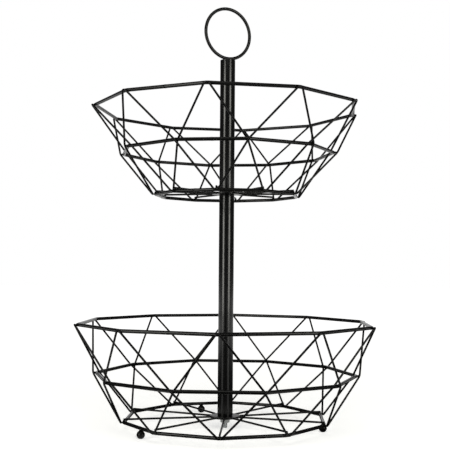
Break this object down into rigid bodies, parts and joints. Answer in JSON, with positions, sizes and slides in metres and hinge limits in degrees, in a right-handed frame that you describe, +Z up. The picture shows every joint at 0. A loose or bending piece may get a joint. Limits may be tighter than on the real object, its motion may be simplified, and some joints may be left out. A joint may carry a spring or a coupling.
{
  "type": "tiered wire basket",
  "caption": "Two-tier fruit basket of bent black wire in a faceted lattice, on a screwed tube post with a ring handle and ball feet.",
  "frame": {"origin": "on the post's axis, at the level that the ball feet stand on", "axes": "+Z up along the post, -Y towards one corner of the lower basket"},
  "size_m": [0.2884, 0.3024, 0.4254],
  "materials": {
    "black_coated_ring_wire": "satin black powder coat on thick steel wire",
    "black_coated_thin_wire": "satin black powder coat on thin steel wire",
    "black_coated_post": "satin black powder coat on steel tube",
    "black_coated_hub_plate": "satin black powder coat on pressed steel plate",
    "black_coated_ball_foot": "satin black powder coat on steel balls",
    "zinc_plated_steel": "bright zinc plate",
    "turned_steel_insert": "plain turned steel"
  },
  "bodies": {
    "lower_basket": {"ball_foot_1": "black_coated_ball_foot", "ball_foot_2": "black_coated_ball_foot", "ball_foot_3": "black_coated_ball_foot", "base_stud": "zinc_plated_steel", "lower_base_ring": "black_coated_ring_wire", "lower_hub_plate": "black_coated_hub_plate", "lower_inner_lattice_wire": "black_coated_thin_wire", "lower_middle_ring": "black_coated_ring_wire", "lower_outer_lattice_wire": "black_coated_thin_wire", "lower_post_foot_insert": "turned_steel_insert", "lower_post_head_insert": "turned_steel_insert", "lower_post_tube": "black_coated_post", "lower_rim_ring": "black_coated_ring_wire", "lower_spoke_01": "black_coated_thin_wire", "lower_spoke_02": "black_coated_thin_wire", "lower_spoke_03": "black_coated_thin_wire", "lower_spoke_04": "black_coated_thin_wire", "lower_spoke_05": "black_coated_thin_wire", "lower_spoke_06": "black_coated_thin_wire", "lower_spoke_07": "black_coated_thin_wire", "lower_spoke_08": "black_coated_thin_wire", "lower_spoke_09": "black_coated_thin_wire", "lower_spoke_10": "black_coated_thin_wire"},
    "upper_basket": {"upper_base_ring": "black_coated_ring_wire", "upper_hub_plate": "black_coated_hub_plate", "upper_inner_lattice_wire": "black_coated_thin_wire", "upper_middle_ring": "black_coated_ring_wire", "upper_outer_lattice_wire": "black_coated_thin_wire", "upper_rim_ring": "black_coated_ring_wire", "upper_spoke_01": "black_coated_thin_wire", "upper_spoke_02": "black_coated_thin_wire", "upper_spoke_03": "black_coated_thin_wire", "upper_spoke_04": "black_coated_thin_wire", "upper_spoke_05": "black_coated_thin_wire", "upper_spoke_06": "black_coated_thin_wire", "upper_spoke_07": "black_coated_thin_wire", "upper_spoke_08": "black_coated_thin_wire", "upper_spoke_09": "black_coated_thin_wire", "upper_spoke_10": "black_coated_thin_wire"},
    "upper_post": {"handle_ring": "black_coated_ring_wire", "joining_stud": "zinc_plated_steel", "post_top_plug": "black_coated_post", "upper_post_foot_insert": "turned_steel_insert", "upper_post_tube": "black_coated_post"},
    "base_washer": {"base_washer": "zinc_plated_steel"},
    "base_nut": {"base_nut": "zinc_plated_steel"}
  },
  "joints": [
    {"name": "upper_basket_swivel", "type": "hinge", "parent": "lower_basket", "child": "upper_basket", "pos_m": [0, 0, 0.2348], "axis": [0, 0, 1], "continuous": true},
    {"name": "upper_post_turn", "type": "hinge", "parent": "lower_basket", "child": "upper_post", "pos_m": [0, 0, 0.2358], "axis": [0, 0, 1], "continuous": true},
    {"name": "base_washer_drop", "type": "slide", "parent": "lower_basket", "child": "base_washer", "axis": [0, 0, -1], "range_m": [0, 0.005]},
    {"name": "base_nut_turn", "type": "hinge", "parent": "base_washer", "child": "base_nut", "pos_m": [0, 0, 0.0078], "axis": [0, 0, -1], "range_deg": [0, 2260]}
  ],
  "couplings": [
    {"joint": "base_nut_turn", "follows": "base_washer_drop", "rad_per_m": 7854}
  ]
}
